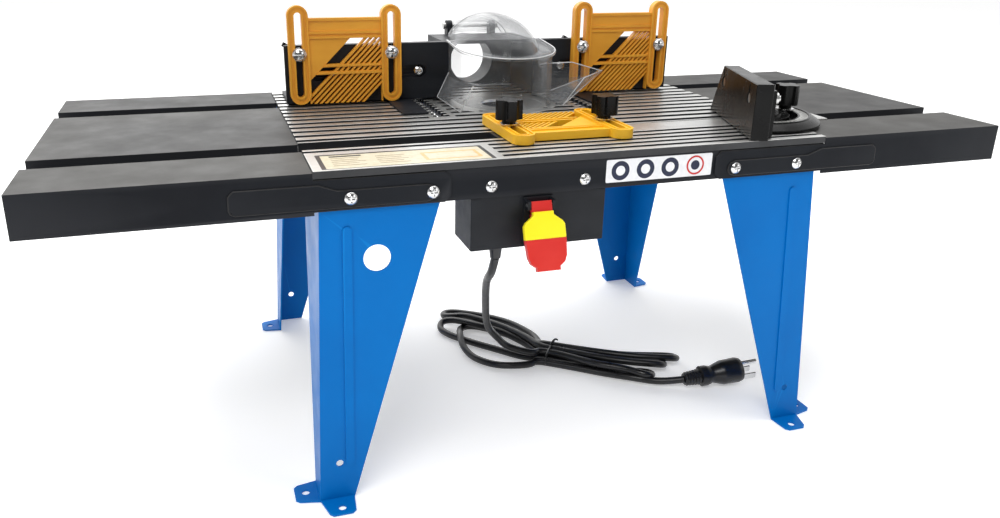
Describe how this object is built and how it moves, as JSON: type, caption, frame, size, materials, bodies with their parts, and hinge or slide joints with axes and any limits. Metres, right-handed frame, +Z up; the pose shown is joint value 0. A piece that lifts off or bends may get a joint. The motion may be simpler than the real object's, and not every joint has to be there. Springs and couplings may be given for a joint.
{
  "type": "router table",
  "caption": "Benchtop router table with ribbed aluminium top, black sheet wings, splayed blue legs, adjustable fence with feather boards, clear bit guard and mitre gauge",
  "frame": {"origin": "on the floor, under the middle of the table", "axes": "+X along the wings to the right, +Y from the operator's edge to the back, +Z up"},
  "size_m": [0.85, 0.399, 0.375],
  "materials": {
    "ribbed_aluminium": "machined ribs with black painted grooves",
    "zinc_steel": "zinc plated",
    "black_sheet": "satin black enamel",
    "blue_paint": "gloss blue enamel",
    "bright_chrome": "bright plated",
    "matt_black_plastic": "satin moulded",
    "gloss_black": "gloss moulded",
    "red_plastic": "satin moulded",
    "hood_yellow": "satin moulded",
    "orange_plastic": "moulded",
    "board_yellow": "moulded",
    "clear_plastic": "clear polycarbonate",
    "cord_rubber": "smooth PVC"
  },
  "bodies": {
    "frame": {"table_top": "ribbed_aluminium", "left_wing": "black_sheet", "right_wing": "black_sheet", "front_apron": "black_sheet", "rear_apron": "black_sheet", "left_front_leg": "blue_paint", "right_front_leg": "blue_paint", "left_rear_leg": "blue_paint", "right_rear_leg": "blue_paint", "front_frame_screws": "bright_chrome", "rear_frame_screws": "bright_chrome", "front_frame_nuts": "zinc_steel", "rear_frame_nuts": "zinc_steel", "box_screws": "bright_chrome", "switch_box": "matt_black_plastic", "switch_body": "matt_black_plastic", "paddle_pin": "zinc_steel", "strain_relief": "cord_rubber", "mains_cord": "cord_rubber", "mains_cord_tail": "cord_rubber", "cord_hank": "cord_rubber", "mains_plug": "cord_rubber", "plug_prongs": "bright_chrome"},
    "insert_ring": {"insert_ring": "zinc_steel"},
    "stop_paddle": {"paddle_hinge": "red_plastic", "paddle_hood": "hood_yellow", "stop_pad": "red_plastic"},
    "rocker": {"switch_rocker": "red_plastic"},
    "fence": {"fence_body": "matt_black_plastic", "face_screws": "bright_chrome", "face_nuts": "zinc_steel", "fence_bolts": "zinc_steel", "guard_pin": "zinc_steel"},
    "left_fence_knob": {"left_fence_knob": "gloss_black"},
    "right_fence_knob": {"right_fence_knob": "gloss_black"},
    "left_face": {"left_fence_face": "matt_black_plastic", "left_feather_bolts": "bright_chrome"},
    "right_face": {"right_fence_face": "matt_black_plastic", "right_feather_bolts": "bright_chrome"},
    "left_board": {"left_feather_board": "orange_plastic"},
    "right_board": {"right_feather_board": "orange_plastic"},
    "left_outer_nut": {"left_outer_wing_nut": "gloss_black"},
    "left_inner_nut": {"left_inner_wing_nut": "gloss_black"},
    "right_inner_nut": {"right_inner_wing_nut": "gloss_black"},
    "right_outer_nut": {"right_outer_wing_nut": "gloss_black"},
    "guard": {"bit_guard": "clear_plastic"},
    "slot_bar": {"slot_bar": "matt_black_plastic", "slot_bolts": "bright_chrome"},
    "flat_board": {"flat_feather_board": "board_yellow"},
    "left_slot_knob": {"left_slot_knob": "gloss_black"},
    "right_slot_knob": {"right_slot_knob": "gloss_black"},
    "mitre_bar": {"mitre_bar": "zinc_steel", "mitre_pivot": "bright_chrome", "mitre_stud": "bright_chrome"},
    "mitre_head": {"mitre_head": "gloss_black", "mitre_face": "gloss_black", "mitre_face_screws": "zinc_steel"},
    "mitre_knob": {"mitre_knob": "gloss_black"}
  },
  "joints": [
    {"name": "insert_ring_lift", "type": "slide", "parent": "frame", "child": "insert_ring", "axis": [0, 0, 1], "range_m": [0, 0.03]},
    {"name": "paddle_hinge_joint", "type": "hinge", "parent": "frame", "child": "stop_paddle", "pos_m": [-0.0435, -0.17066, 0.2385], "axis": [1, 0, 0], "range_deg": [-80, 15]},
    {"name": "rocker_joint", "type": "hinge", "parent": "frame", "child": "rocker", "pos_m": [-0.0435, -0.16296, 0.22], "axis": [1, 0, 0], "range_deg": [-8, 8]},
    {"name": "fence_slide", "type": "slide", "parent": "frame", "child": "fence", "axis": [0, 1, 0], "range_m": [-0.02, 0.024]},
    {"name": "left_fence_knob_turn", "type": "hinge", "parent": "fence", "child": "left_fence_knob", "pos_m": [-0.078, 0.1045, 0.29], "axis": [0, 0, 1], "continuous": true},
    {"name": "left_face_slide", "type": "slide", "parent": "fence", "child": "left_face", "axis": [1, 0, 0], "range_m": [0, 0.0175]},
    {"name": "left_board_slide", "type": "slide", "parent": "left_face", "child": "left_board", "axis": [0, 0, -1], "range_m": [-0.038, 0]},
    {"name": "right_fence_knob_turn", "type": "hinge", "parent": "fence", "child": "right_fence_knob", "pos_m": [0.078, 0.1045, 0.29], "axis": [0, 0, 1], "continuous": true},
    {"name": "right_face_slide", "type": "slide", "parent": "fence", "child": "right_face", "axis": [1, 0, 0], "range_m": [-0.0175, 0]},
    {"name": "right_board_slide", "type": "slide", "parent": "right_face", "child": "right_board", "axis": [0, 0, -1], "range_m": [-0.038, 0]},
    {"name": "left_outer_nut_turn", "type": "hinge", "parent": "left_face", "child": "left_outer_nut", "pos_m": [-0.2005, 0.0874, 0.329], "axis": [0, 1, 0], "continuous": true},
    {"name": "left_inner_nut_turn", "type": "hinge", "parent": "left_face", "child": "left_inner_nut", "pos_m": [-0.1095, 0.0874, 0.329], "axis": [0, 1, 0], "continuous": true},
    {"name": "right_inner_nut_turn", "type": "hinge", "parent": "right_face", "child": "right_inner_nut", "pos_m": [0.0985, 0.0874, 0.329], "axis": [0, 1, 0], "continuous": true},
    {"name": "right_outer_nut_turn", "type": "hinge", "parent": "right_face", "child": "right_outer_nut", "pos_m": [0.1895, 0.0874, 0.329], "axis": [0, 1, 0], "continuous": true},
    {"name": "guard_hinge", "type": "hinge", "parent": "fence", "child": "guard", "pos_m": [0, 0.1565, 0.344], "axis": [-1, 0, 0], "range_deg": [0, 45]},
    {"name": "slot_bar_slide", "type": "slide", "parent": "frame", "child": "slot_bar", "axis": [1, 0, 0], "range_m": [-0.06, 0.007]},
    {"name": "flat_board_slide", "type": "slide", "parent": "slot_bar", "child": "flat_board", "axis": [0, 1, 0], "range_m": [-0.022, 0.018]},
    {"name": "left_slot_knob_turn", "type": "hinge", "parent": "slot_bar", "child": "left_slot_knob", "pos_m": [-0.0425, -0.09, 0.29], "axis": [0, 0, 1], "continuous": true},
    {"name": "right_slot_knob_turn", "type": "hinge", "parent": "slot_bar", "child": "right_slot_knob", "pos_m": [0.0485, -0.09, 0.29], "axis": [0, 0, 1], "continuous": true},
    {"name": "mitre_bar_slide", "type": "slide", "parent": "frame", "child": "mitre_bar", "axis": [1, 0, 0], "range_m": [-0.007, 0.12]},
    {"name": "mitre_swivel", "type": "hinge", "parent": "mitre_bar", "child": "mitre_head", "pos_m": [0.201, -0.09, 0.28], "axis": [0, 0, 1], "range_deg": [-34, 71]},
    {"name": "mitre_knob_turn", "type": "hinge", "parent": "mitre_bar", "child": "mitre_knob", "pos_m": [0.241, -0.09, 0.29], "axis": [0, 0, 1], "continuous": true}
  ]
}
